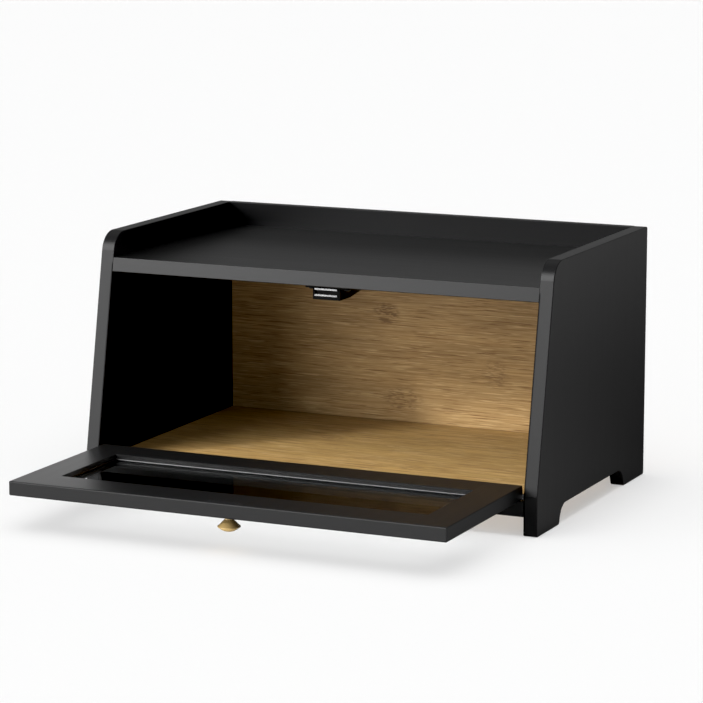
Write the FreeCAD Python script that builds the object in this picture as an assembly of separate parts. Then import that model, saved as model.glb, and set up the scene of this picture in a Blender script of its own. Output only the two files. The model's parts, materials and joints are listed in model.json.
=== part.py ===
import FreeCAD
import Part
import math
import os

# Countertop bread box: two black side panels with a slanted front edge and a low gallery round the top
# shelf, a bamboo floor and back, and a glazed door that drops forward on two steel pivot pins.
# Millimetres. +X right, +Y back, +Z up. The model is worked out with Y = 0 at the front of the feet and
# Z = 0 on the table. It is written out with its origin below the middle of the footprint that the box
# has with its door open, which is the pose that the pieces are drawn in.

# --- carcass ---
width = 400.0
depth = 250.0
height = 212.0
board = 11.6              # thickness of the sides, shelf and floor
crease_height = 32.0      # the front edge is upright to here and leans back above it
front_setback = 34.0      # how far the front edge has leaned back at full height
top_corner_radius = 18.0
outline_radius = 2.0      # the other corners of a side panel's outline
outer_edge_round = 0.7
inner_edge_round = 0.5
board_edge_round = 0.45   # long front edges of the shelf and both upper edges of the rail
sill_edge_round = 0.4

# --- feet ---
arch_height = 15.3        # the floor's underside and the arch between the feet
front_foot_length = 48.5
rear_foot_length = 50.0
foot_flare = 5.5          # each foot is longer by this much where it meets the arch
arch_corner_radius = 13.5

# --- top gallery and back ---
gallery_height = 20.1     # the sides and rail stand this far above the shelf
rail_thickness = 7.0
rail_let_in = 2.0         # the rail's foot in its rabbet along the shelf's rear edge
back_thickness = 3.0
rabbet_width = 6.0        # how far the back is let into each side panel
back_gap = 0.3            # round the back in its rabbet

# --- sill ---
sill_depth = 8.0
sill_rise = 1.1           # above the floor, where the open door comes to rest

# --- door ---
door_thickness = 11.5
door_side_gap = 2.25
door_top_gap = 0.6        # closed door to shelf
door_recess = 0.15        # closed door's outer face behind the slanted front
door_swing_gap = 0.3      # door's far edge to the shelf as it swings past
door_edge_round = 1.0
stile_width = 29.2
top_rail_width = 32.9
window_reach = 30.2       # pivot axis to the near edge of the window
window_chamfer = 0.5
pane_thickness = 3.0
pane_bite = 5.0           # pane hidden in its groove on each side
pane_face_gap = 0.1
pane_edge_gap = 0.4
seal_size = 0.75
seal_round = 0.6

# --- pivots ---
pin_radius = 1.25
pin_inset = 2.7           # pin axis behind the door's outer face, and the radius of the door's knuckle
pin_in_side = 8.5
pin_in_door = 14.0
pin_chamfer = 0.3
pin_press_gap = 0.02
pin_running_gap = 0.05
knuckle_gap = 0.1         # knuckle to sill
washer_wall = 1.3
washer_play = 0.2

# --- dowels and screws ---
dowel_gap = 0.05
dowel_end_gap = 0.5
dowel_chamfer = 0.5
case_dowel_radius = 3.0
case_dowel_in_side = 8.0
case_dowel_in_board = 16.0
case_dowel_inset = 30.0   # outer dowels of a row of three to the board's edges
rail_dowel_radius = 1.8
door_dowel_radius = 2.5
door_dowel_reach = 12.0   # into each of the two pieces
door_dowel_spacing = 14.0
door_dowel_edge = 8.5     # outer dowel to the door's far edge
door_dowel_pivot = 6.5    # inner dowel to the pivot axis
screw_gap = 0.05
recess_width = 0.7        # cross recess in a screw's head
recess_reach = 0.55       # its arms, as a share of the head's radius
recess_depth = 0.4        # and its depth
back_screw_radius = 1.5
back_screw_head = 2.9
back_screw_length = 16.0
back_screw_inset = 25.0   # outer screws to the side panels
back_screw_count = 4

# --- magnetic catch ---
catch_x = 0.5             # the catch sits a little right of the middle
catch_width = 24.0
catch_depth = 45.0
catch_height = 12.8
catch_flat = 20.0         # the underside is level this far back, then rises
catch_rear_height = 9.5
catch_ear_reach = 7.6
catch_ear_depth = 13.0
catch_ear_thickness = 3.6
catch_ear_radius = 2.5
catch_rear_radius = 3.0
catch_gap = 0.5           # pole plates to the closed door
plate_width = 19.8
plate_thickness = 1.3
plate_spacing = 5.0
plate_drop = 4.1          # shelf to the middle of the upper plate
plate_proud = 1.3
plate_length = 20.0
magnet_width = 19.0
magnet_length = 14.0
magnet_setback = 1.8      # magnet behind the housing's front
catch_fit = 0.1
catch_screw_radius = 1.4
catch_screw_head = 2.5
catch_screw_head_height = 1.7
catch_screw_in_shelf = 8.5
strike_width = 30.0
strike_height = 8.0
strike_thickness = 0.9
strike_edge = 1.3         # strike to the door's far edge
strike_screw_spacing = 22.0
strike_screw_radius = 1.1
strike_screw_head = 1.9
strike_screw_length = 7.0

# --- knob ---
knob_inset = 14.0         # knob's axis to the door's far edge
knob_height = 13.2
knob_rim_radius = 8.95
knob_neck_radius = 3.35
knob_base_radius = 3.8
knob_flare_radius = 3.5   # where the neck turns into the flare
knob_neck_height = 3.6
knob_rim_height = 8.6     # where the flare reaches the rim
knob_rim_band = 1.2
stud_radius = 1.9
stud_in_rail = 7.0
stud_in_knob = 8.0

# --- worked out from the above ---
inner_x = width / 2 - board
front_slope = front_setback / (height - crease_height)
lean = math.atan(front_slope)
floor_top = arch_height + board
sill_top = floor_top + sill_rise
shelf_top = height - gallery_height
shelf_bottom = shelf_top - board
inside_depth = depth - back_thickness

pivot_z = sill_top + knuckle_gap + pin_inset
pivot_y = (pivot_z - crease_height) * front_slope + (door_recess + pin_inset) / math.cos(lean)
closing_angle = 90.0 + math.degrees(lean)

door_half = inner_x - door_side_gap
door_outer_z = pivot_z - pin_inset
door_inner_z = door_outer_z + door_thickness
inner_offset = door_thickness - pin_inset
shelf_edge_y = (shelf_bottom - crease_height) * front_slope
length_to_shelf = (shelf_bottom - door_top_gap - pivot_z - pin_inset * math.sin(lean)) / math.cos(lean)
swing_reach = math.hypot(shelf_edge_y - pivot_y, shelf_bottom - pivot_z) - door_swing_gap
length_to_swing = math.sqrt(swing_reach ** 2 - inner_offset ** 2)
door_reach = min(length_to_shelf, length_to_swing)    # pivot axis to the door's far edge

window_half = door_half - stile_width
window_near_y = pivot_y - window_reach
window_far_y = pivot_y - door_reach + top_rail_width
door_far_y = pivot_y - door_reach
door_mid_z = (door_outer_z + door_inner_z) / 2
pane_low_z = door_mid_z - pane_thickness / 2
pane_high_z = door_mid_z + pane_thickness / 2

origin_y = (depth + door_far_y) / 2
same = 0.001              # two places closer than this are one
past = 1.0                # how far a cutter reaches past the face that it opens


def vec(x, y, z):
    return FreeCAD.Vector(x, y, z)


ALONG_X = vec(1, 0, 0)
ALONG_Z = vec(0, 0, 1)


def save(node, *solids):
    """Write one node, moved to the frame with its origin below the middle of the footprint."""
    shape = solids[0] if len(solids) == 1 else Part.makeCompound(list(solids))
    shape.translated(vec(0, -origin_y, 0)).exportStep("parts/" + node + ".step")


def block(x0, x1, y0, y1, z0, z1):
    """A box between two corners."""
    return Part.makeBox(x1 - x0, y1 - y0, z1 - z0, vec(x0, y0, z0))


def rod(start, direction, radius, length):
    return Part.makeCylinder(radius, length, start, direction)


def outline_solid(points, x0, x1):
    """A straight-sided (y, z) outline carried from x0 to x1."""
    corners = [vec(x0, y, z) for y, z in points]
    face = Part.Face(Part.makePolygon(corners + corners[:1]))
    return face.extrude(vec(x1 - x0, 0, 0))


def edges_along_x(shape, places):
    """The edges parallel to X that pass through any of the (y, z) places."""
    found = []
    for edge in shape.Edges:
        b = edge.BoundBox
        if b.YLength > same or b.ZLength > same:
            continue
        if any(math.hypot(b.YMin - y, b.ZMin - z) < 10 * same for y, z in places):
            found.append(edge)
    return found


def edges_in_plane_x(shape, x):
    return [e for e in shape.Edges if abs(e.BoundBox.XMin - x) < same and abs(e.BoundBox.XMax - x) < same]


def turned(profile, axis_start, direction):
    """A solid of revolution. The profile is edges in the XZ plane, with Z as its axis."""
    wire = Part.Wire(profile)
    solid = Part.Face(wire).revolve(vec(0, 0, 0), ALONG_Z, 360)
    solid.Placement = FreeCAD.Placement(axis_start, FreeCAD.Rotation(ALONG_Z, direction))
    return solid


def line(a, b):
    return Part.LineSegment(vec(a[0], 0, a[1]), vec(b[0], 0, b[1])).toShape()


def arc(a, middle, b):
    return Part.Arc(vec(a[0], 0, a[1]), vec(middle[0], 0, middle[1]), vec(b[0], 0, b[1])).toShape()


def dome_arc(rim, crown):
    """The arc from a rim to a crown on the axis that turns into part of a sphere."""
    rise = crown[1] - rim[1]
    radius = (rim[0] ** 2 + rise ** 2) / (2 * rise)
    half_turn = math.asin(rim[0] / radius) / 2
    middle = (radius * math.sin(half_turn), crown[1] - radius * (1 - math.cos(half_turn)))
    return arc(rim, middle, crown)


def chain(points):
    """Straight edges through (radius, height) points, back to the first."""
    return [line(a, b) for a, b in zip(points, points[1:] + points[:1])]


def chamfered_rod(start, direction, radius, length, chamfer):
    end_radius = radius - chamfer
    outline = [(0, 0), (end_radius, 0), (radius, chamfer), (radius, length - chamfer), (end_radius, length),
               (0, length)]
    return turned(chain(outline), start, direction)


def dowel(centre, radius, before, after):
    """A dowel along X with chamfered ends, from `before` on the -X side of the centre to `after`."""
    return chamfered_rod(centre - ALONG_X * before, ALONG_X, radius, before + after, dowel_chamfer)


def dowel_hole(centre, radius, before, after):
    reach = before + after + 2 * dowel_end_gap
    return rod(centre - ALONG_X * (before + dowel_end_gap), ALONG_X, radius + dowel_gap, reach)


def countersunk(head, direction, head_radius, shank_radius, length, gap=0.0):
    """A countersunk screw, or with a gap the hole it sits in. `head` is the middle of its flat head."""
    cone = head_radius - shank_radius
    tip = length - 2 * shank_radius
    r = shank_radius + gap
    outline = [(0, 0), (head_radius + gap, 0), (r, cone), (r, tip + gap), (0, length + 2 * gap)]
    solid = turned(chain(outline), head, direction)
    return solid if gap else solid.cut(cross_recess(head, direction, head_radius))


def cross_recess(head, direction, head_radius):
    """The cross that a screwdriver turns, cut into a head from its outer face."""
    arm = recess_reach * head_radius
    half = recess_width / 2
    deep = recess_depth * head_radius
    cross = block(-arm, arm, -half, half, 0, deep).fuse(block(-half, half, -arm, arm, 0, deep))
    cross.Placement = FreeCAD.Placement(head, FreeCAD.Rotation(ALONG_Z, direction))
    return cross


# --- places that two or more pieces share ---
shelf_mid_z = (shelf_top + shelf_bottom) / 2
floor_mid_z = (floor_top + arch_height) / 2
rail_mid_y = depth - rail_thickness / 2
rail_mid_z = shelf_top + gallery_height / 2


def spread(first, last, count):
    """Evenly spaced values from first to last."""
    return [first + (last - first) * i / (count - 1) for i in range(count)]


shelf_dowel_ys = spread(shelf_edge_y + case_dowel_inset, inside_depth - case_dowel_inset, 3)
floor_dowel_ys = spread(sill_depth + case_dowel_inset, inside_depth - case_dowel_inset, 3)
back_screw_xs = spread(back_screw_inset - inner_x, inner_x - back_screw_inset, back_screw_count)


def joint_dowel(make, side, y, z, radius):
    """A dowel, or its hole, across the inner face of the side panel on one side (-1 or 1)."""
    in_side, in_board = case_dowel_in_side, case_dowel_in_board
    before, after = (in_side, in_board) if side < 0 else (in_board, in_side)
    return make(vec(side * inner_x, y, z), radius, before, after)


def case_dowels(make, ys, z, side):
    return [joint_dowel(make, side, y, z, case_dowel_radius) for y in ys]


def rail_dowel(make, side):
    return joint_dowel(make, side, rail_mid_y, rail_mid_z, rail_dowel_radius)


def back_screw(x, z, gap):
    """A screw through the back panel into the rear edge of a board, or with a gap its hole."""
    head = vec(x, depth, z)
    return countersunk(head, vec(0, -1, 0), back_screw_head, back_screw_radius, back_screw_length, gap)


def back_screws(z, gap=0.0):
    return [back_screw(x, z, gap) for x in back_screw_xs]


# --- carcass pieces ---

def side_panel(side):
    """One side panel: a board with a slanted front edge, rounded top front corner and arched foot."""
    arch_front = (front_foot_length + foot_flare, arch_height)
    arch_back = (depth - rear_foot_length - foot_flare, arch_height)
    top_front = (front_setback, height)
    front_foot = [(0, 0), (front_foot_length, 0)]
    rear_foot = [(depth - rear_foot_length, 0), (depth, 0)]
    top_back = (depth, height)
    outline = front_foot + [arch_front, arch_back] + rear_foot + [top_back, top_front, (0, crease_height)]
    outer_x = side * width / 2
    panel = outline_solid(outline, side * inner_x, outer_x)
    panel = panel.makeFillet(top_corner_radius, edges_along_x(panel, [top_front]))
    panel = panel.makeFillet(arch_corner_radius, edges_along_x(panel, [arch_front, arch_back]))
    panel = panel.makeFillet(outline_radius, edges_along_x(panel, front_foot + rear_foot + [top_back]))
    panel = panel.makeFillet(outer_edge_round, edges_in_plane_x(panel, outer_x))
    panel = panel.makeFillet(inner_edge_round, edges_in_plane_x(panel, side * inner_x))

    rabbet_xs = sorted((side * (inner_x - past), side * (inner_x + rabbet_width)))
    rabbet = block(*rabbet_xs, inside_depth, depth + past, arch_height - back_gap, shelf_top - rail_let_in)
    holes = case_dowels(dowel_hole, shelf_dowel_ys, shelf_mid_z, side)
    holes += case_dowels(dowel_hole, floor_dowel_ys, floor_mid_z, side)
    holes.append(rail_dowel(dowel_hole, side))
    pin_hole = rod(vec(side * (inner_x - past), pivot_y, pivot_z), ALONG_X * side,
                   pin_radius + pin_press_gap, pin_in_side + dowel_end_gap + past)
    return panel.cut([rabbet, pin_hole] + holes)


def top_shelf():
    """The shelf, its front edge flush with the slanted fronts of the sides."""
    top_edge_y = (shelf_top - crease_height) * front_slope
    front_edges = [(shelf_edge_y, shelf_bottom), (top_edge_y, shelf_top)]
    outline = [front_edges[0], (inside_depth, shelf_bottom), (inside_depth, shelf_top), front_edges[1]]
    shelf = outline_solid(outline, -inner_x, inner_x)
    shelf = shelf.makeFillet(board_edge_round, edges_along_x(shelf, front_edges))
    holes = [h for side in (-1, 1) for h in case_dowels(dowel_hole, shelf_dowel_ys, shelf_mid_z, side)]
    holes += back_screws(shelf_mid_z, screw_gap)
    holes += [catch_screw(side, screw_gap) for side in (-1, 1)]
    rail_rabbet = block(-inner_x, inner_x, depth - rail_thickness, depth,
                        shelf_top - rail_let_in, shelf_top + past)
    return shelf.cut([rail_rabbet] + holes)


def back_rail():
    """The low rail that closes the back of the gallery, its foot let into the shelf."""
    front_y = depth - rail_thickness
    rail = block(-inner_x, inner_x, front_y, depth, shelf_top - rail_let_in, height)
    rail = rail.makeFillet(board_edge_round, edges_along_x(rail, [(front_y, height), (depth, height)]))
    return rail.cut([rail_dowel(dowel_hole, side) for side in (-1, 1)])


def back_panel():
    half = inner_x + rabbet_width - back_gap
    panel = block(-half, half, inside_depth, depth, arch_height, shelf_top - rail_let_in - back_gap)
    return panel.cut(back_screws(shelf_mid_z, screw_gap) + back_screws(floor_mid_z, screw_gap))


def floor_board():
    floor = block(-inner_x, inner_x, sill_depth, inside_depth, arch_height, floor_top)
    holes = [h for side in (-1, 1) for h in case_dowels(dowel_hole, floor_dowel_ys, floor_mid_z, side)]
    return floor.cut(holes + back_screws(floor_mid_z, screw_gap))


def front_sill():
    """The lipping on the floor's front edge. Its top stands above the floor and stops the open door."""
    sill = block(-inner_x, inner_x, 0, sill_depth, arch_height, sill_top)
    return sill.makeFillet(sill_edge_round, edges_along_x(sill, [(0, arch_height), (0, sill_top)]))


# --- magnetic catch ---
catch_front_y = (shelf_bottom - plate_drop + plate_thickness / 2 - crease_height) * front_slope
catch_front_y += (door_recess + door_thickness) / math.cos(lean) + catch_gap + plate_proud
plate_mid_zs = [shelf_bottom - plate_drop, shelf_bottom - plate_drop - plate_spacing]
ear_screw_x = catch_width / 2 + catch_ear_reach / 2
catch_screw_y = catch_front_y + catch_ear_depth / 2


def catch_screw(side, gap=0.0):
    """A pan-head screw up through the catch's ear into the shelf, or with a gap its hole."""
    r = catch_screw_radius + gap
    head = catch_screw_head_height
    tip = head + catch_ear_thickness + catch_screw_in_shelf + gap
    start = vec(catch_x + side * ear_screw_x, catch_screw_y, shelf_bottom - catch_ear_thickness - head)
    outline = [(0, 0), (catch_screw_head, 0), (catch_screw_head, head), (r, head), (r, tip - 2 * r),
               (0, tip)]
    solid = turned(chain(outline), start, ALONG_Z)
    if gap:
        return solid
    head_edges = [e for e in solid.Edges
                  if abs(e.BoundBox.ZMax - start.z) < same and e.Length > catch_screw_head]
    return solid.makeFillet(head / 2, head_edges).cut(cross_recess(start, ALONG_Z, catch_screw_head))


def catch_pocket():
    """The room inside the housing for the magnet and its pole plates, open at the front."""
    half = plate_width / 2 + catch_fit
    low = plate_mid_zs[1] - plate_thickness / 2 - catch_fit
    high = plate_mid_zs[0] + plate_thickness / 2 + catch_fit
    back = catch_front_y - plate_proud + plate_length + catch_fit
    return block(catch_x - half, catch_x + half, catch_front_y - past, back, low, high)


def catch_housing():
    """A plastic body with a screw ear on each side, hung under the shelf."""
    half = catch_width / 2
    rear_y = catch_front_y + catch_depth
    low_z = shelf_bottom - catch_height
    outline = [(catch_front_y, shelf_bottom), (catch_front_y, low_z), (catch_front_y + catch_flat, low_z),
               (rear_y, shelf_bottom - catch_rear_height), (rear_y, shelf_bottom)]
    body = outline_solid(outline, catch_x - half, catch_x + half)
    rear_edges = [e for e in body.Edges
                  if e.BoundBox.YMin > rear_y - same and e.BoundBox.ZMin < shelf_bottom - same]
    body = body.makeFillet(catch_rear_radius, rear_edges)
    reach = half + catch_ear_reach
    ears = block(catch_x - reach, catch_x + reach, catch_front_y, catch_front_y + catch_ear_depth,
                 shelf_bottom - catch_ear_thickness, shelf_bottom)
    ear_corners = [e for e in ears.Edges if e.BoundBox.ZLength > catch_ear_thickness / 2]
    ears = ears.makeFillet(catch_ear_radius, ear_corners)
    return body.fuse(ears).cut([catch_pocket()] + [catch_screw(side, screw_gap) for side in (-1, 1)])


def pole_plates():
    """Two steel plates that carry the magnet's pull to the strike."""
    half = plate_width / 2
    front = catch_front_y - plate_proud
    return [block(catch_x - half, catch_x + half, front, front + plate_length,
                  z - plate_thickness / 2, z + plate_thickness / 2) for z in plate_mid_zs]


def catch_magnet():
    half = magnet_width / 2
    front = catch_front_y + magnet_setback
    return block(catch_x - half, catch_x + half, front, front + magnet_length,
                 plate_mid_zs[1] + plate_thickness / 2, plate_mid_zs[0] - plate_thickness / 2)


# --- pivots ---

def pivot_pin(side):
    """A steel pin pressed into a side panel, which the door turns on."""
    length = pin_in_side + door_side_gap + pin_in_door
    outer_end = vec(side * (inner_x + pin_in_side), pivot_y, pivot_z)
    return chamfered_rod(outer_end, ALONG_X * -side, pin_radius, length, pin_chamfer)


def pivot_washer(side):
    """A spacer on the pin between the side panel and the door."""
    start = vec(side * inner_x, pivot_y, pivot_z)
    inward = ALONG_X * -side
    thickness = door_side_gap - washer_play
    bore = pin_radius + pin_running_gap
    return rod(start, inward, bore + washer_wall, thickness).cut(rod(start, inward, bore, thickness))


# --- door, drawn open: its outer face is down and its far edge towards -Y ---

def knuckle_point(angle):
    """The point on the door's knuckle at an angle above +Y, in degrees."""
    a = math.radians(angle)
    return (pivot_y + pin_inset * math.cos(a), pivot_z + pin_inset * math.sin(a))


def door_section(x0, x1, far_y):
    """The door's full section, with the knuckle round the pivot, from x0 to x1. Its lower end is cut so
    that it lies level over the sill when the door is closed."""
    heel_angle = math.degrees(lean)
    knuckle_end = knuckle_point(heel_angle)
    half_way = knuckle_point((heel_angle - 90.0) / 2)
    heel = (knuckle_end[0] - (door_inner_z - knuckle_end[1]) * front_slope, door_inner_z)

    def at(place):
        return vec(x0, place[0], place[1])

    below_pivot = (pivot_y, door_outer_z)
    edges = [Part.LineSegment(at((far_y, door_outer_z)), at(below_pivot)).toShape(),
             Part.Arc(at(below_pivot), at(half_way), at(knuckle_end)).toShape(),
             Part.LineSegment(at(knuckle_end), at(heel)).toShape(),
             Part.LineSegment(at(heel), at((far_y, door_inner_z))).toShape(),
             Part.LineSegment(at((far_y, door_inner_z)), at((far_y, door_outer_z))).toShape()]
    return Part.Face(Part.Wire(edges)).extrude(vec(x1 - x0, 0, 0))


def pane_groove():
    """The groove round the window that holds the pane, as one cutter for all four frame pieces."""
    reach = pane_bite + pane_edge_gap
    return block(-window_half - reach, window_half + reach, window_far_y - reach, window_near_y + reach,
                 pane_low_z - pane_face_gap, pane_high_z + pane_face_gap)


def frustum(z_small, z_large):
    """A block through the window that widens by the bevel from z_small to z_large."""
    rings = []
    for z, grow in ((z_small, 0.0), (z_large, window_chamfer)):
        x = window_half + grow
        y0 = window_far_y - grow
        y1 = window_near_y + grow
        corners = [vec(-x, y0, z), vec(x, y0, z), vec(x, y1, z), vec(-x, y1, z)]
        rings.append(Part.makePolygon(corners + corners[:1]))
    return Part.makeLoft(rings, True, True)


def window_cutters():
    return [pane_groove(), frustum(door_inner_z - window_chamfer, door_inner_z),
            frustum(door_outer_z + window_chamfer, door_outer_z)]


def door_dowels(make):
    """The dowels, or their holes, that join each rail's ends to the stiles."""
    top_y = door_far_y + door_dowel_edge
    bottom_y = pivot_y - door_dowel_pivot
    ys = [top_y, top_y + door_dowel_spacing, bottom_y, bottom_y - door_dowel_spacing]
    reach = door_dowel_reach
    return [make(vec(side * window_half, y, door_mid_z), door_dowel_radius, reach, reach)
            for side in (-1, 1) for y in ys]


def door_stile(side):
    """One side of the door's frame, full length, with the bore for its pivot pin."""
    outer_x = side * door_half
    stile = door_section(side * window_half, outer_x, door_far_y)
    far_edges = edges_along_x(stile, [(door_far_y, door_outer_z), (door_far_y, door_inner_z)])
    stile = stile.makeFillet(door_edge_round, far_edges)
    stile = stile.makeFillet(door_edge_round, edges_in_plane_x(stile, outer_x))
    pin_bore = rod(vec(side * (door_half + past), pivot_y, pivot_z), ALONG_X * -side,
                   pin_radius + pin_running_gap, pin_in_door + dowel_end_gap + past)
    return stile.cut(window_cutters() + [pin_bore] + door_dowels(dowel_hole))


def door_top_rail():
    """The rail along the door's far edge, which carries the knob and the strike."""
    rail = block(-window_half, window_half, door_far_y, window_far_y, door_outer_z, door_inner_z)
    far_edges = edges_along_x(rail, [(door_far_y, door_outer_z), (door_far_y, door_inner_z)])
    rail = rail.makeFillet(door_edge_round, far_edges)
    cutters = window_cutters() + door_dowels(dowel_hole) + [strike_blank(catch_fit), knob_stud(screw_gap)]
    return rail.cut(cutters + [strike_screw(side, screw_gap) for side in (-1, 1)])


def door_bottom_rail():
    """The rail along the pivots."""
    rail = door_section(-window_half, window_half, window_near_y)
    return rail.cut(window_cutters() + door_dowels(dowel_hole))


def door_pane():
    return block(-window_half - pane_bite, window_half + pane_bite,
                 window_far_y - pane_bite, window_near_y + pane_bite, pane_low_z, pane_high_z)


def pane_seal(z_pane, outward):
    """A quarter-round bead between the pane and the window's walls, above (1) or below (-1) the pane."""
    z_out = z_pane + outward * seal_size
    z0, z1 = sorted((z_pane, z_out))
    ring = block(-window_half, window_half, window_far_y, window_near_y, z0, z1)
    hollow = block(-window_half + seal_size, window_half - seal_size,
                   window_far_y + seal_size, window_near_y - seal_size, z0, z1)
    ring = ring.cut(hollow)
    crest = []
    for edge in ring.Edges:
        b = edge.BoundBox
        level = abs(b.ZMin - z_out) < same and abs(b.ZMax - z_out) < same
        inside_x = b.XMax < window_half - same and b.XMin > same - window_half
        inside_y = b.YMax < window_near_y - same and b.YMin > window_far_y + same
        if level and inside_x and inside_y:
            crest.append(edge)
    return ring.makeFillet(seal_round, crest)


# --- strike and knob ---
strike_mid_y = door_far_y + strike_edge + strike_height / 2
knob_y = door_far_y + knob_inset


def strike_blank(gap=0.0):
    """The steel strike let in flush, before its screw holes, or with a gap its recess."""
    half_x = strike_width / 2 + gap
    half_y = strike_height / 2 + gap
    return block(catch_x - half_x, catch_x + half_x, strike_mid_y - half_y, strike_mid_y + half_y,
                 door_inner_z - strike_thickness, door_inner_z)


def strike_screw(side, gap=0.0):
    head = vec(catch_x + side * strike_screw_spacing / 2, strike_mid_y, door_inner_z)
    return countersunk(head, vec(0, 0, -1), strike_screw_head, strike_screw_radius, strike_screw_length, gap)


def strike_plate():
    return strike_blank().cut([strike_screw(side, screw_gap) for side in (-1, 1)])


def knob_stud(gap=0.0):
    """The steel stud that holds the knob to the rail, or with a gap its holes."""
    return rod(vec(0, knob_y, door_outer_z + stud_in_rail + gap), vec(0, 0, -1), stud_radius + gap,
               stud_in_rail + stud_in_knob + 2 * gap)


def door_knob():
    """A turned bamboo knob: a short neck, a conical flare, a thin rim and a shallow dome."""
    base = (knob_base_radius, 0)
    waist = (knob_neck_radius, knob_neck_height / 2)
    neck = (knob_flare_radius, knob_neck_height)
    rim_low = (knob_rim_radius - knob_rim_band / 2, knob_rim_height)
    rim_mid = (knob_rim_radius, knob_rim_height + knob_rim_band / 2)
    rim_high = (knob_rim_radius - knob_rim_band / 2, knob_rim_height + knob_rim_band)
    crown = (0, knob_height)
    profile = [line((0, 0), base), arc(base, waist, neck), line(neck, rim_low),
               arc(rim_low, rim_mid, rim_high), dome_arc(rim_high, crown), line(crown, (0, 0))]
    knob = turned(profile, vec(0, knob_y, door_outer_z), vec(0, 0, -1))
    return knob.cut(knob_stud(screw_gap))


os.makedirs("parts", exist_ok=True)

for name, side in (("left", -1), ("right", 1)):
    save("side_panel_" + name, side_panel(side))
    save("pivot_pin_" + name, pivot_pin(side))
    save("pivot_washer_" + name, pivot_washer(side))
    save("door_stile_" + name, door_stile(side))

save("top_shelf", top_shelf())
save("back_rail", back_rail())
save("back_panel", back_panel())
save("floor_board", floor_board())
save("front_sill", front_sill())
for name, ys, z in (("shelf", shelf_dowel_ys, shelf_mid_z), ("floor", floor_dowel_ys, floor_mid_z)):
    save(name + "_dowels", *case_dowels(dowel, ys, z, -1), *case_dowels(dowel, ys, z, 1))
save("rail_dowels", *[rail_dowel(dowel, side) for side in (-1, 1)])
save("back_panel_screws", *back_screws(shelf_mid_z), *back_screws(floor_mid_z))
save("catch_housing", catch_housing())
save("catch_pole_plates", *pole_plates())
save("catch_magnet", catch_magnet())
save("catch_screws", *[catch_screw(side) for side in (-1, 1)])
save("door_top_rail", door_top_rail())
save("door_bottom_rail", door_bottom_rail())
save("door_dowels", *door_dowels(dowel))
save("door_pane", door_pane())
save("pane_seals", pane_seal(pane_high_z, 1), pane_seal(pane_low_z, -1))
save("strike_plate", strike_plate())
save("strike_screws", *[strike_screw(side) for side in (-1, 1)])
save("door_knob", door_knob())
save("knob_stud", knob_stud())

print("pivot", round(pivot_y - origin_y, 4), round(pivot_z, 4), "closing angle", round(closing_angle, 3))
print("origin_y", round(origin_y, 4), "door reach", round(door_reach, 4))
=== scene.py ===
import json
import math

import bpy
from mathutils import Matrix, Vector


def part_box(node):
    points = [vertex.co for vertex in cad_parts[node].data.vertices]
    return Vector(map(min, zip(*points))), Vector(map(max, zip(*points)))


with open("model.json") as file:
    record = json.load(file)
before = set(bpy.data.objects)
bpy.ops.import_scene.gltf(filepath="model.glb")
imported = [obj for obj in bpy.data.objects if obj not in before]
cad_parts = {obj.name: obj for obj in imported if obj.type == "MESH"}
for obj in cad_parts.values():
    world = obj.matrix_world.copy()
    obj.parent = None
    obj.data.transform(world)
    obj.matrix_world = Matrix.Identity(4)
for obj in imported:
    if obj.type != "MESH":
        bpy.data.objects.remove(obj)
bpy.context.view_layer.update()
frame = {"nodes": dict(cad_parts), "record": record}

node = frame["nodes"]
mm = 0.001


def grey(tone):
    return (tone, tone, tone)


# --- camera: where the picture was taken from, for a square image ---
CAMERA_PLACE = (1.0430, -2.2443, 0.5796)
CAMERA_TILT = 79.5605     # degrees up from looking straight down
CAMERA_TURN = 24.541      # degrees to the left of +Y
CAMERA_LENS = 158.82      # millimetres
CAMERA_SENSOR = 36.0      # millimetres
CAMERA_SIGHT = 100.0      # how far it sees, in metres
BLACK_LEVEL = 0.0042      # the picture is black up to here

# --- places on the carcass, which no joint moves ---
PANEL_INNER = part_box("side_panel_right")[0][0]
PANEL_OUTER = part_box("side_panel_right")[1][0]
PANEL_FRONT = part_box("side_panel_right")[0][1]
SHELF_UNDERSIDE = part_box("top_shelf")[0][2]
BACK_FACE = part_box("back_panel")[0][1]

# --- colours, linear ---
LACQUER = (0.0042, 0.0042, 0.0044)
# the door's frame gets a paler copy of the same black: painted light, a neutral haze on its faces
LACQUER_DOOR_LIT = (0.0080, 0.0080, 0.0082)
LACQUER_WORN = (0.030, 0.029, 0.028)
BAMBOO_PALE = (0.560, 0.378, 0.174)
BAMBOO_PALE_FLOOR = (0.560, 0.368, 0.128)
BAMBOO_LIGHT = (0.680, 0.485, 0.250)
BAMBOO_DEEP = (0.365, 0.217, 0.086)
BAMBOO_FIBRE = (0.240, 0.130, 0.048)
BAMBOO_NODE = (0.190, 0.105, 0.045)
KNOB_DEEP = (0.245, 0.165, 0.062)
KNOB_PALE = (0.385, 0.272, 0.114)
BEECH_PALE = (0.640, 0.470, 0.300)
BEECH_DEEP = (0.520, 0.350, 0.200)
SCREW_STEEL = (0.55, 0.55, 0.56)
PLATE_STEEL = (0.85, 0.85, 0.86)
PIN_STEEL = (0.60, 0.60, 0.61)
PAINT = (0.014, 0.014, 0.015)
PAINT_RUBBED = (0.30, 0.29, 0.28)
PLASTIC = grey(0.003)
PLASTIC_WORN = grey(0.02)
FERRITE_DARK = grey(0.005)
FERRITE_LIGHT = (0.012, 0.011, 0.011)
SILICONE_DARK = (0.016, 0.016, 0.017)
SILICONE_LIGHT = (0.024, 0.024, 0.025)
PANE = (0.970, 0.985, 0.980)
PANE_SHADOW = (0.52, 0.53, 0.53)      # what its shadow lets through
PAPER = grey(0.86)
PAPER_LIGHTING = grey(0.60)           # as it lights the object: a shaded copy of the paper, so it bounces less light
PAPER_THROUGH_PANE = grey(0.95)
PAPER_BOX_SHADOW = grey(0.001)         # seen through the pane too: the box's painted shadow under it
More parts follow.
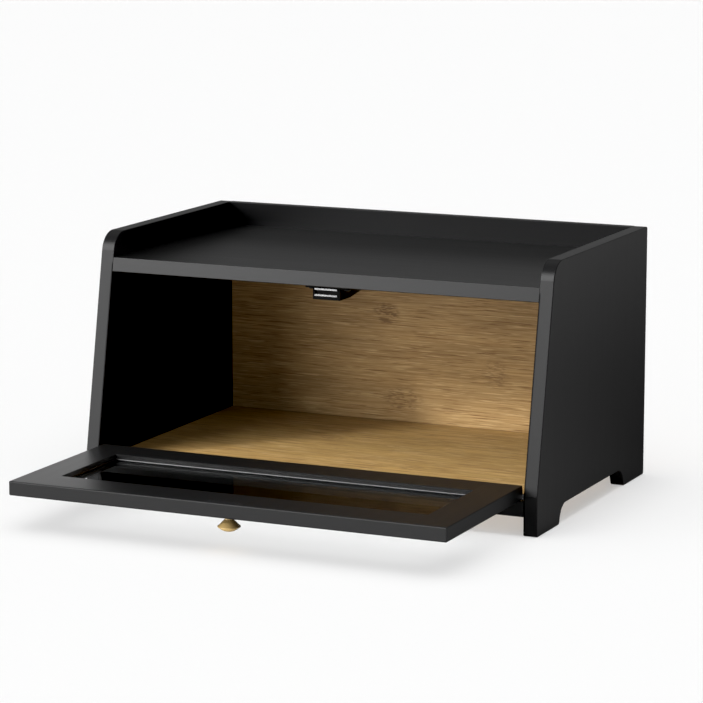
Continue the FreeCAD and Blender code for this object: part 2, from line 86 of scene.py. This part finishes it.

# --- gloss ---
LACQUER_GLOSS = 0.45
LACQUER_GLOSS_LEFT = 0.38
LACQUER_GLOSS_RAIL = 0.32
LACQUER_GLOSS_HINGE = 0.30
LACQUER_GLOSS_INSIDE = 0.05
LACQUER_ROUGH = 0.30
LACQUER_ROUGH_DOOR = 0.38
LACQUER_RELIEF = 0.004 * mm
LACQUER_RELIEF_SHELF = 0.014 * mm
PANE_GLOSS = 0.5
PANE_IOR = 1.085

# --- bamboo ---
STRIP_WIDTH = 20 * mm
LINE_NOISE = (0.57, 0.65)             # where the noise starts a line of fibre and where that is full
SEAM_WIDTH = 4 * mm                   # of the painted shade line where the floor meets the back
# the cane's nodes: place along and across the grain, reach along and across it, and darkness
BACK_MARKS = [(-38 * mm, 121.6 * mm, 14 * mm, 11 * mm, 0.75),
              (65 * mm, 76 * mm, 14 * mm, 15 * mm, 0.45),
              (-22 * mm, 47 * mm, 21 * mm, 12 * mm, 0.55)]
FLOOR_MARKS = [(61.5 * mm, 26.2 * mm, 14 * mm, 10 * mm, 0.6),
               (-49 * mm, 109.3 * mm, 14 * mm, 10 * mm, 0.6)]


class Nodes:
    """One material's node tree. Each maker adds a node and returns its output."""

    def __init__(self, name):
        self.material = bpy.data.materials.new(name)
        self.material.use_nodes = True
        self.tree = self.material.node_tree
        self.shader = self.tree.nodes["Principled BSDF"]
        self.place = self.add("ShaderNodeTexCoord").outputs["Object"]

    def add(self, kind, **settings):
        made = self.tree.nodes.new(kind)
        for key, value in settings.items():
            setattr(made, key, value)
        return made

    def put(self, socket, value):
        if isinstance(value, bpy.types.NodeSocket):
            self.tree.links.new(value, socket)
        else:
            socket.default_value = value

    def set(self, **values):
        """Sets or links inputs of the Principled shader. Underscores stand for spaces."""
        for key, value in values.items():
            self.put(self.shader.inputs[key.replace("_", " ")], value)

    def math(self, operation, a, b=0.0, clamp=False):
        made = self.add("ShaderNodeMath", operation=operation, use_clamp=clamp)
        self.put(made.inputs[0], a)
        self.put(made.inputs[1], b)
        return made.outputs[0]

    def scaled(self, scale, offset=(0, 0, 0)):
        """The piece's own coordinates, in metres, times `scale` along each axis."""
        made = self.add("ShaderNodeVectorMath", operation="MULTIPLY_ADD")
        self.put(made.inputs[0], self.place)
        self.put(made.inputs[1], scale)
        self.put(made.inputs[2], offset)
        return made.outputs[0]

    def axis(self, vector, name):
        made = self.add("ShaderNodeSeparateXYZ")
        self.put(made.inputs[0], vector)
        return made.outputs[name]

    def noise(self, vector, detail=2.0, roughness=0.5, distortion=0.0, scale=1.0):
        made = self.add("ShaderNodeTexNoise")
        self.put(made.inputs["Vector"], vector)
        self.put(made.inputs["Scale"], scale)
        self.put(made.inputs["Detail"], detail)
        self.put(made.inputs["Roughness"], roughness)
        self.put(made.inputs["Distortion"], distortion)
        return made.outputs[0]

    def random(self, number):
        """A random value from 0 to 1 for each whole number."""
        vector = self.add("ShaderNodeCombineXYZ")
        self.put(vector.inputs[0], number)
        made = self.add("ShaderNodeTexWhiteNoise", noise_dimensions="3D")
        self.put(made.inputs["Vector"], vector.outputs[0])
        return made.outputs[0]

    def remap(self, value, low, high, to_low=0.0, to_high=1.0):
        made = self.add("ShaderNodeMapRange", clamp=True)
        for key, number in (("Value", value), ("From Min", low), ("From Max", high),
                            ("To Min", to_low), ("To Max", to_high)):
            self.put(made.inputs[key], number)
        return made.outputs[0]

    def blend(self, factor, a, b):
        made = self.add("ShaderNodeMix", data_type="RGBA")
        self.put(made.inputs["Factor"], factor)
        for socket, colour in ((made.inputs[6], a), (made.inputs[7], b)):
            self.put(socket, colour if isinstance(colour, bpy.types.NodeSocket) else (*colour, 1.0))
        return made.outputs[2]

    def toned(self, colour, factor):
        """A colour times a factor."""
        made = self.add("ShaderNodeVectorMath", operation="SCALE")
        self.put(made.inputs[0], colour)
        self.put(made.inputs["Scale"], factor)
        return made.outputs[0]

    def bump(self, height, distance):
        """Bends the shader's normal by a height from 0 to 1, `distance` metres tall."""
        made = self.add("ShaderNodeBump")
        self.put(made.inputs["Strength"], 1.0)
        self.put(made.inputs["Distance"], distance)
        self.put(made.inputs["Height"], height)
        self.set(Normal=made.outputs[0])

    def edges(self, radius):
        """1 on edges that turn within `radius`, 0 on flat faces."""
        rounded = self.add("ShaderNodeBevel", samples=6)
        self.put(rounded.inputs["Radius"], radius)
        flat = self.add("ShaderNodeNewGeometry").outputs["Normal"]
        same = self.add("ShaderNodeVectorMath", operation="DOT_PRODUCT")
        self.put(same.inputs[0], rounded.outputs[0])
        self.put(same.inputs[1], flat)
        return self.remap(same.outputs["Value"], 1.0, 0.9)


def along(axis, length, across):
    """Noise frequencies, per metre, for streaks `length` long down the axis and `across` apart."""
    return tuple(1 / length if name == axis else 1 / across for name in "XYZ")


def lacquer(name, grain, colour=LACQUER, gloss=LACQUER_GLOSS, rough=LACQUER_ROUGH, relief=LACQUER_RELIEF,
            dull=None):
    """Satin black lacquer that lets the board's grain show as fine streaks.

    `dull` makes a mask that is 1 on the faces with next to no gloss.
    """
    n = Nodes(name)
    streak = n.noise(n.scaled(along(grain, length=60 * mm, across=0.9 * mm)), detail=3.0, roughness=0.6)
    broad = n.noise(n.scaled(along(grain, length=160 * mm, across=7 * mm)), detail=1.0)
    speck = n.noise(n.place, scale=1 / (0.5 * mm), detail=1.0)
    rub = n.noise(n.place, scale=1 / (6 * mm))
    worn = n.math("MULTIPLY", n.edges(0.5 * mm), n.remap(rub, 0.45, 0.75))
    tint = n.toned(colour, n.remap(streak, 0.25, 0.75, 0.92, 1.1))
    n.set(Base_Color=n.blend(n.math("MULTIPLY", worn, 0.5), tint, LACQUER_WORN))
    fine_spread = n.remap(streak, 0.2, 0.8, rough, rough + 0.03)
    broad_spread = n.remap(broad, 0.2, 0.8, -0.01, 0.01)
    n.set(Roughness=n.math("ADD", fine_spread, broad_spread), Specular_IOR_Level=gloss, IOR=1.5)
    if dull:
        n.set(Specular_IOR_Level=n.remap(dull(n), 0.0, 1.0, gloss, LACQUER_GLOSS_INSIDE))
    height = n.math("ADD", n.math("MULTIPLY", streak, 0.8), n.math("MULTIPLY", speck, 0.2))
    n.bump(height, relief)
    return n.material


def compartment_walls(n):
    """1 on the side panels' inner faces below the shelf, 0 elsewhere."""
    x = n.math("ABSOLUTE", n.axis(n.place, "X"))
    z = n.axis(n.place, "Z")
    inside = n.remap(x, PANEL_INNER + 0.6 * mm, PANEL_INNER + 1.6 * mm, 1.0, 0.0)
    # the change lies behind the shelf's ends
    below_shelf = n.remap(z, SHELF_UNDERSIDE + 6 * mm, SHELF_UNDERSIDE + 8 * mm, 1.0, 0.0)
    return n.math("MULTIPLY", inside, below_shelf)


def bamboo(name, grain, across, pale, marks, coarse=1.0, seam=None):
    """Bamboo strips side by side: fine fibres, dark and pale lines, and the cane's node marks.

    `seam` is where the board meets its neighbour, across the grain, and holds a thin dark line of painted
    shade.
    """
    n = Nodes(name)
    strip = n.math("FLOOR", n.math("DIVIDE", n.axis(n.place, across), STRIP_WIDTH))
    line_across = 0.9 * mm * coarse
    fibre = n.noise(n.scaled(along(grain, 60 * mm, 1.1 * mm * coarse)), detail=3.0, roughness=0.7)
    dark = n.noise(n.scaled(along(grain, 32 * mm, line_across), (3.7, 1.3, 8.1)), detail=2.0, roughness=0.6)
    light = n.noise(n.scaled(along(grain, 28 * mm, line_across), (9.4, 6.2, 2.8)), detail=2.0, roughness=0.6)
    cloud = n.noise(n.scaled(along(grain, 60 * mm, 16 * mm)), detail=2.0)
    strip_tone = n.remap(n.random(strip), 0, 1, 0.92, 1.06)
    cloud_tone = n.remap(cloud, 0.3, 0.7, 0.88, 1.08)
    colour = n.blend(n.remap(fibre, 0.30, 0.70), BAMBOO_DEEP, pale)
    colour = n.toned(colour, n.math("MULTIPLY", strip_tone, cloud_tone))
    colour = n.blend(n.remap(dark, *LINE_NOISE, 0.0, 0.95), colour, BAMBOO_FIBRE)
    colour = n.blend(n.remap(light, *LINE_NOISE, 0.0, 0.70), colour, BAMBOO_LIGHT)
    for mark in marks:
        colour = node_mark(n, colour, grain, across, *mark)
    if seam is not None:
        # a thin line of painted shade along the seam
        seam_shade = n.remap(n.axis(n.place, across), seam - SEAM_WIDTH, seam - 0.2 * SEAM_WIDTH, 0.0, 0.6)
        colour = n.blend(seam_shade, colour, BAMBOO_NODE)
    n.set(Base_Color=colour, Roughness=n.remap(fibre, 0.2, 0.8, 0.50, 0.38), Specular_IOR_Level=0.4)
    n.bump(n.math("ADD", n.math("MULTIPLY", fibre, 0.6), n.math("MULTIPLY", dark, 0.4)), 0.03 * mm)
    return n.material


def node_mark(n, colour, grain, across, u, v, reach_u, reach_v, strength):
    """A node of the cane: a patch of short dark dashes, `u` along the grain and `v` across it."""
    du = n.math("DIVIDE", n.math("SUBTRACT", n.axis(n.place, grain), u), reach_u)
    dv = n.math("DIVIDE", n.math("SUBTRACT", n.axis(n.place, across), v), reach_v)
    away = n.math("ADD", n.math("MULTIPLY", du, du), n.math("MULTIPLY", dv, dv))
    own_offset = (u * 90, v * 70, 2.0)      # so that no two marks have the same dashes
    dashes = n.noise(n.scaled(along(grain, 5.5 * mm, 1.3 * mm), own_offset), detail=1.5, distortion=0.3)
    amount = n.math("MULTIPLY", n.remap(away, 1.0, 0.4), n.remap(dashes, 0.46, 0.58, 0.0, strength))
    return n.blend(amount, colour, BAMBOO_NODE)


def turned_bamboo(name):
    """Waxed bamboo turned across the grain, its fibres along X."""
    n = Nodes(name)
    fibre = n.noise(n.scaled(along("X", 22 * mm, 0.7 * mm)), detail=4.0, roughness=0.6)
    tick = n.noise(n.scaled(along("X", 6 * mm, 0.45 * mm)), detail=1.0)
    base = n.blend(n.remap(fibre, 0.3, 0.7), KNOB_DEEP, KNOB_PALE)
    n.set(Base_Color=n.blend(n.remap(tick, 0.62, 0.75, 0.0, 0.6), base, BAMBOO_FIBRE))
    n.set(Roughness=n.remap(fibre, 0.2, 0.8, 0.42, 0.30), Specular_IOR_Level=0.5)
    n.set(Coat_Weight=1.0, Coat_Roughness=0.18)
    n.bump(fibre, 0.02 * mm)
    return n.material


def beech(name):
    """Plain beech with short dark flecks."""
    n = Nodes(name)
    fibre = n.noise(n.scaled(along("X", 12 * mm, 0.4 * mm)), detail=3.0)
    fleck = n.noise(n.scaled(along("X", 2 * mm, 0.3 * mm), (5, 5, 5)), detail=1.0)
    depth = n.math("ADD", fibre, n.remap(fleck, 0.6, 0.7, 0.0, 0.3), clamp=True)
    n.set(Base_Color=n.blend(depth, BEECH_PALE, BEECH_DEEP), Roughness=n.remap(fibre, 0.2, 0.8, 0.75, 0.6))
    n.bump(fibre, 0.05 * mm)
    return n.material


def metal(name, tone, rough, brushed):
    """Plain metal with fine scratches along one axis and a few dull spots."""
    n = Nodes(name)
    scratch = n.noise(n.scaled(along(brushed, 8 * mm, 0.12 * mm)), detail=3.0, roughness=0.7)
    dull = n.noise(n.place, scale=1 / (2.5 * mm), detail=3.0)
    lighter = tuple(min(1.0, 1.15 * c) for c in tone)
    n.set(Base_Color=n.blend(scratch, tone, lighter), Metallic=1.0)
    spread = n.math("MULTIPLY", n.remap(scratch, 0.2, 0.8, 0.85, 1.2), n.remap(dull, 0.4, 0.7, 1.0, 1.3))
    n.set(Roughness=n.math("MULTIPLY", spread, rough))
    n.bump(scratch, 0.008 * mm)
    return n.material


def plastic(name):
    """Black moulded plastic with a fine spark-eroded texture."""
    n = Nodes(name)
    grit = n.noise(n.place, scale=1 / (0.25 * mm), detail=2.0)
    scuff = n.noise(n.place, scale=1 / (3 * mm), detail=4.0)
    worn = n.math("MULTIPLY", n.edges(0.4 * mm), n.remap(scuff, 0.45, 0.7))
    n.set(Base_Color=n.blend(n.math("MULTIPLY", worn, 0.6), PLASTIC, PLASTIC_WORN))
    n.set(Roughness=n.remap(scuff, 0.3, 0.7, 0.55, 0.68), Specular_IOR_Level=0.15)
    n.bump(grit, 0.02 * mm)
    return n.material


def black_metal(name, wear):
    """Steel painted satin black, its edges rubbed bright by as much as `wear`."""
    n = Nodes(name)
    grit = n.noise(n.place, scale=1 / (0.3 * mm), detail=2.0)
    rub = n.noise(n.scaled(along("Y", 6 * mm, 0.3 * mm)), detail=3.0)
    worn = n.math("MULTIPLY", n.edges(0.4 * mm), n.remap(rub, 0.35, 0.65, 0.0, wear))
    n.set(Base_Color=n.blend(worn, PAINT, PAINT_RUBBED))
    n.set(Metallic=n.math("MULTIPLY", worn, 0.9), Roughness=n.remap(rub, 0.3, 0.7, 0.32, 0.45))
    n.bump(grit, 0.01 * mm)
    return n.material


def ferrite(name):
    """Sintered ferrite: dull, nearly black and grainy."""
    n = Nodes(name)
    grain = n.noise(n.place, scale=1 / (0.4 * mm), detail=4.0, roughness=0.7)
    n.set(Base_Color=n.blend(grain, FERRITE_DARK, FERRITE_LIGHT), Roughness=0.62, Specular_IOR_Level=0.15)
    n.bump(grain, 0.03 * mm)
    return n.material


def clear(name):
    """Clear pane that lets the lights through to what is behind it."""
    n = Nodes(name)
    smear = n.noise(n.place, scale=1 / (35 * mm), detail=3.0, distortion=1.2)
    n.set(Base_Color=(*PANE, 1.0), Transmission_Weight=1.0, IOR=PANE_IOR, Specular_IOR_Level=PANE_GLOSS)
    n.set(Roughness=n.remap(smear, 0.45, 0.75, 0.0, 0.03))
    through = n.add("ShaderNodeBsdfTransparent")
    n.put(through.inputs[0], (*PANE_SHADOW, 1.0))
    either = n.add("ShaderNodeMixShader")
    n.put(either.inputs[0], n.add("ShaderNodeLightPath").outputs["Is Shadow Ray"])
    n.put(either.inputs[1], n.shader.outputs[0])
    n.put(either.inputs[2], through.outputs[0])
    n.put(n.tree.nodes["Material Output"].inputs["Surface"], either.outputs[0])
    return n.material


def seal(name):
    """A glossy bead of dark silicone."""
    n = Nodes(name)
    swell = n.noise(n.scaled(along("X", 30 * mm, 6 * mm)), detail=2.0)
    n.set(Base_Color=n.blend(n.remap(swell, 0.3, 0.7), SILICONE_DARK, SILICONE_LIGHT))
    n.set(Roughness=n.remap(swell, 0.3, 0.7, 0.025, 0.05), Specular_IOR_Level=1.0, IOR=1.6)
    n.bump(swell, 0.004 * mm)
    return n.material


def finish_with(material, *names):
    for name in names:
        slots = node[name].data.materials
        slots.clear()
        slots.append(material)


# --- finishes of the CAD pieces ---
left_finish = lacquer("black_lacquer_left", "Z", gloss=LACQUER_GLOSS_LEFT, dull=compartment_walls)
right_finish = lacquer("black_lacquer_right", "Z", dull=compartment_walls)
shelf_finish = lacquer("black_lacquer_shelf", "X", relief=LACQUER_RELIEF_SHELF)
rail_finish = lacquer("black_lacquer_rail", "X", gloss=LACQUER_GLOSS_RAIL)
door_top_finish = lacquer("black_lacquer_door_x", "X", LACQUER_DOOR_LIT, rough=LACQUER_ROUGH_DOOR)
door_hinge_finish = lacquer("black_lacquer_door_hinge", "X", LACQUER_DOOR_LIT, gloss=LACQUER_GLOSS_HINGE,
                            rough=LACQUER_ROUGH_DOOR)
door_stile_finish = lacquer("black_lacquer_door_y", "Y", LACQUER_DOOR_LIT, rough=LACQUER_ROUGH_DOOR)
floor_finish = bamboo("bamboo_board", "X", "Y", BAMBOO_PALE_FLOOR, FLOOR_MARKS, coarse=1.8, seam=BACK_FACE)
finish_with(left_finish, "side_panel_left")
finish_with(right_finish, "side_panel_right")
finish_with(shelf_finish, "top_shelf", "front_sill")
finish_with(rail_finish, "back_rail")
finish_with(door_top_finish, "door_top_rail")
finish_with(door_hinge_finish, "door_bottom_rail")
finish_with(door_stile_finish, "door_stile_left", "door_stile_right")
finish_with(floor_finish, "floor_board")
finish_with(bamboo("bamboo_veneer", "X", "Z", BAMBOO_PALE, BACK_MARKS), "back_panel")
finish_with(turned_bamboo("bamboo_turned"), "door_knob")
finish_with(beech("dowel_wood"), "shelf_dowels", "floor_dowels", "rail_dowels", "door_dowels")
finish_with(metal("screw_steel", SCREW_STEEL, 0.32, "Z"), "back_panel_screws", "knob_stud")
finish_with(metal("plate_steel", PLATE_STEEL, 0.22, "X"), "catch_pole_plates")
finish_with(metal("pin_steel", PIN_STEEL, 0.20, "X"),
            "pivot_pin_left", "pivot_pin_right", "pivot_washer_left", "pivot_washer_right")
finish_with(black_metal("black_steel", wear=1.0), "catch_screws")
finish_with(black_metal("black_steel_strike", wear=0.1), "strike_plate", "strike_screws")
finish_with(plastic("black_plastic"), "catch_housing")
finish_with(ferrite("ferrite"), "catch_magnet")
finish_with(clear("clear_pane"), "door_pane")
finish_with(seal("clear_seal"), "pane_seals")

# --- stage ---
FLOOR_REACH = 30.0
FLOOR_HEIGHT = -0.1 * mm      # just below the feet, so that they don't share a plane
# Where the paper's painted light and shade fade when it isn't seen directly: |X| or Y of the start and the
# end.
BELOW_DOOR_X = (PANEL_OUTER, PANEL_OUTER + 80 * mm)
BELOW_DOOR_Y = (-0.26, -0.21)
BESIDE_DOOR_X = (0.30, 0.42)
BESIDE_DOOR_Y = (-0.26, -0.18)
BESIDE_DOOR_SHADE = 0.8
FAR_FRONT_Y = (-1.0, -0.45)
FAR_SIDE_X = (0.50, 0.85)
FRONT_TO_BACK_Y = (-0.10, 0.05)
BOX_SIDE_X = (PANEL_OUTER - 5 * mm, PANEL_OUTER + 5 * mm)
BOX_FRONT_Y = (PANEL_FRONT - 20 * mm, PANEL_FRONT + 20 * mm)
# How pale it is there, from 0 to 1.
FRONT_TONES = (0.25, 0.95)
SHADED_TONE = 0.05
BACK_SLOPE_X = 1.03
BACK_SLOPE_Y = -0.5
BACK_SLOPE_FAR = 0.50
BACK_SLOPE_RANGE = (0.08, 0.45)
BACK_TONES = (0.06, 0.43)


def patch(n, x, y, fade_x, fade_y, peak=1.0):
    """`peak` nearer the middle than `fade_x` and further back than `fade_y`, 0 past the two fades."""
    return n.math("MULTIPLY", n.remap(x, *fade_x, peak, 0.0), n.remap(y, *fade_y))


def stage_paper():
    """Plain pale paper to the camera. Its other tones are painted light and shade: a shaded copy lights the
    object, and the paper mirrored in the faces and seen through the pane holds painted shadows of the door
    and the box.
    """
    n = Nodes("stage_paper")
    ray = n.add("ShaderNodeLightPath").outputs
    x = n.math("ABSOLUTE", n.axis(n.place, "X"))
    y = n.axis(n.place, "Y")
    # mirrored in front: painted shadows of the door below its free edge and beside it, and painted light
    # that fades far off
    door_shadow = patch(n, x, y, BELOW_DOOR_X, BELOW_DOOR_Y)
    door_side_shadow = patch(n, x, y, BESIDE_DOOR_X, BESIDE_DOOR_Y, BESIDE_DOOR_SHADE)
    shade = n.remap(n.math("MAXIMUM", door_shadow, door_side_shadow), 0.0, 1.0, 1.0, SHADED_TONE)
    front = n.math("MULTIPLY", n.remap(y, *FAR_FRONT_Y, *FRONT_TONES), shade)
    # mirrored behind: the box's painted shadow, paler to the sides
    slope = n.math("ADD", n.math("MULTIPLY", x, BACK_SLOPE_X), n.math("MULTIPLY", y, BACK_SLOPE_Y))
    slope = n.math("ADD", slope, n.remap(x, *FAR_SIDE_X, 0.0, BACK_SLOPE_FAR))
    back = n.remap(slope, *BACK_SLOPE_RANGE, *BACK_TONES)
    behind = n.remap(y, *FRONT_TO_BACK_Y)
    in_front = n.math("SUBTRACT", 1.0, behind)
    tone = n.math("ADD", n.math("MULTIPLY", front, in_front), n.math("MULTIPLY", back, behind))
    mirrored = n.blend(tone, grey(0.0), grey(1.0))
    # seen through the pane: the box's painted shadow below it
    box_shadow = patch(n, x, y, BOX_SIDE_X, BOX_FRONT_Y)
    through_pane = n.blend(box_shadow, PAPER_THROUGH_PANE, PAPER_BOX_SHADOW)
    colour = n.blend(ray["Is Glossy Ray"], PAPER_LIGHTING, mirrored)
    colour = n.blend(ray["Is Transmission Ray"], colour, through_pane)
    colour = n.blend(ray["Is Camera Ray"], colour, PAPER)
    n.set(Base_Color=colour, Roughness=0.9, Specular_IOR_Level=0.1)
    return n.material


floor_mesh = bpy.data.meshes.new("stage_floor")
corners = [(x * FLOOR_REACH, y * FLOOR_REACH, FLOOR_HEIGHT) for x, y in ((-1, -1), (1, -1), (1, 1), (-1, 1))]
floor_mesh.from_pydata(corners, [], [(0, 1, 2, 3)])
floor_mesh.materials.append(stage_paper())
stage_floor = bpy.data.objects.new("stage_floor", floor_mesh)
bpy.context.scene.collection.objects.link(stage_floor)


# --- lights ---
def from_front(turn, rise):
    """The direction `turn` degrees left of the front and `rise` degrees above the horizon."""
    t, r = math.radians(turn), math.radians(rise)
    return Vector((-math.sin(t) * math.cos(r), -math.cos(t) * math.cos(r), math.sin(r)))


AIM = Vector((0.0, 0.0, 0.1))
LAMP_DISTANCE = 2.4
# Each lamp's name, turn and rise from the front in degrees, width, height and power in watts. The key is
# small, so the left panel's shadow crosses the floor and a bright patch lies low on the back.
LAMPS = [("key", 45, 23.3, 0.30, 0.18, 50),
         ("front", 29, 9.5, 1.15, 0.95, 27),
         ("high", 40, 44, 0.8, 0.6, 29),
         ("higher", 40, 64, 0.5, 0.5, 10),
         ("fill", -5, 42, 0.8, 0.6, 4)]
# What the faces mirror and are lit by: each ramp's start and end, then the light's strength there. They
# run over the cosine to the glow's middle, the direction's height and its distance towards the back.
GLOW_TOWARD = from_front(36, 24)
GLOW_RAMP = (0.892, 0.995, 0.0, 5.8)
HORIZON_RAMP = (0.0, 0.4, 0.345, 0.10)
TOP_RAMP = (0.4, 0.85, 0.0, 0.26)
FRONT_RAMP = (0.3, -0.7, 0.04, 0.30)


def group(name, pieces):
    made = bpy.data.collections.new(name)
    for piece in pieces:
        made.objects.link(piece)
    return made


on_object = group("on_object", node.values())
on_paper = group("on_paper", [stage_floor])
carcass = group("carcass_pieces", [node[name] for name in frame["record"]["behaviour"]["bodies"]["carcass"]])
door_frame = ("door_stile_left", "door_stile_right", "door_top_rail", "door_bottom_rail")
on_door = group("on_door", [node[name] for name in door_frame])
on_knob = group("on_knob", [node["door_knob"]])
hidden = group("hidden_pieces", [node["catch_screws"]])


def link_light(name, data, ray, lit, blockers=None):
    """Puts a light in the scene, out of the camera's sight, that only rays of one kind meet.

    It lights the pieces in the collection `lit`. Where `blockers` is given, only its pieces cast shadows.
    """
    light = bpy.data.objects.new(name, data)
    light.visible_camera = False
    light.visible_diffuse = ray == "diffuse"
    light.visible_glossy = ray == "glossy"
    light.visible_transmission = ray == "glossy"
    bpy.context.scene.collection.objects.link(light)
    light.light_linking.receiver_collection = lit
    if blockers is not None:
        light.light_linking.blocker_collection = blockers
    return light


def softbox(name, place, aim, width, height, power, ray, lit, blockers=None):
    data = bpy.data.lights.new(name, "AREA")
    data.shape = "RECTANGLE"
    data.size = width
    data.size_y = height
    data.energy = power
    light = link_light(name, data, ray, lit, blockers)
    light.location = place
    light.rotation_euler = (Vector(aim) - Vector(place)).to_track_quat("-Z", "Y").to_euler()


def overhead(name, strength, spread, blockers=None):
    data = bpy.data.lights.new(name, "SUN")
    data.energy = strength
    data.angle = math.radians(spread)
    link_light(name, data, "diffuse", on_paper, blockers)


for lamp, turn, rise, width, height, power in LAMPS:
    place = AIM + LAMP_DISTANCE * from_front(turn, rise)
    softbox(lamp, place, AIM, width, height, power, ray="diffuse", lit=on_object)
# A low card behind the left end shows in the open door's left stile.
softbox("card", place=(-0.54, 0.60, 0.22), aim=(-0.15, -0.15, 0.03), width=0.35, height=0.16, power=0.29,
        ray="glossy", lit=on_door)
# A small lamp over the open door's right end adds a neutral haze to its black.
softbox("lift", place=(0.15, -0.23, 0.27), aim=(0.12, -0.14, 0.03), width=0.12, height=0.12, power=0.50,
        ray="diffuse", lit=on_door)
# What a white table would send up to the knob.
softbox("bounce", place=(-0.03, -0.27, -0.06), aim=(0.0, -0.192, 0.022), width=0.06, height=0.06, power=0.28,
        ray="diffuse", lit=on_knob, blockers=on_knob)
# The overhead lights fall on the paper alone. The first meets every piece, the second the carcass, and the
# third only a hidden one, so the object's shadow on the paper is pale and soft.
overhead("overhead_shadowing", strength=0.8, spread=80)
overhead("overhead_contact", strength=0.9, spread=30, blockers=carcass)
overhead("overhead_shadowless", strength=1.5, spread=30, blockers=hidden)


def surroundings():
    """White to the camera. The rest is what the faces are lit by and mirror."""
    world = bpy.data.worlds.new("surroundings")
    world.use_nodes = True
    bpy.context.scene.world = world
    tree = world.node_tree
    tree.nodes.clear()

    def add(kind, **settings):
        made = tree.nodes.new(kind)
        for key, value in settings.items():
            setattr(made, key, value)
        return made

    def ramp(value, low, high, to_low, to_high):
        made = add("ShaderNodeMapRange", interpolation_type="SMOOTHSTEP")
        tree.links.new(value, made.inputs["Value"])
        for key, number in (("From Min", low), ("From Max", high), ("To Min", to_low), ("To Max", to_high)):
            made.inputs[key].default_value = number
        return made.outputs[0]

    def total(a, b):
        made = add("ShaderNodeMath", operation="ADD")
        tree.links.new(a, made.inputs[0])
        tree.links.new(b, made.inputs[1])
        return made.outputs[0]

    def light(strength=None):
        """White light, of strength 1 if no other is given."""
        made = add("ShaderNodeBackground")
        made.inputs["Color"].default_value = (1, 1, 1, 1)
        if strength is not None:
            tree.links.new(strength, made.inputs["Strength"])
        return made.outputs[0]

    def either(which, no, yes):
        made = add("ShaderNodeMixShader")
        for socket, source in zip(made.inputs, (which, no, yes)):
            tree.links.new(source, socket)
        return made.outputs[0]

    direction = add("ShaderNodeTexCoord").outputs["Generated"]
    parts = add("ShaderNodeSeparateXYZ")
    tree.links.new(direction, parts.inputs[0])
    up = parts.outputs["Z"]
    # softly bounded glow of the key, seen by glossy faces
    toward_key = add("ShaderNodeVectorMath", operation="DOT_PRODUCT")
    tree.links.new(direction, toward_key.inputs[0])
    toward_key.inputs[1].default_value = GLOW_TOWARD
    glow = ramp(toward_key.outputs["Value"], *GLOW_RAMP)
    # a pale band round the horizon, and a paler top
    mirrored = total(total(glow, ramp(up, *HORIZON_RAMP)), ramp(up, *TOP_RAMP))
    # soft light, more of it from the front than from the back
    lit = ramp(parts.outputs["Y"], *FRONT_RAMP)
    ray = add("ShaderNodeLightPath").outputs
    unseen = either(ray["Is Glossy Ray"], light(lit), light(mirrored))
    seen = either(ray["Is Camera Ray"], unseen, light())
    tree.links.new(seen, add("ShaderNodeOutputWorld").inputs[0])


surroundings()

# --- camera and picture ---
camera_data = bpy.data.cameras.new("camera")
camera_data.lens = CAMERA_LENS
camera_data.sensor_width = CAMERA_SENSOR
camera_data.clip_end = CAMERA_SIGHT
camera = bpy.data.objects.new("camera", camera_data)
camera.location = CAMERA_PLACE
camera.rotation_euler = (math.radians(CAMERA_TILT), 0.0, math.radians(CAMERA_TURN))
bpy.context.scene.collection.objects.link(camera)
bpy.context.scene.camera = camera
picture = bpy.context.scene.view_settings
picture.view_transform = "Standard"
picture.use_curve_mapping = True
picture.curve_mapping.black_level = grey(BLACK_LEVEL)
picture.curve_mapping.update()
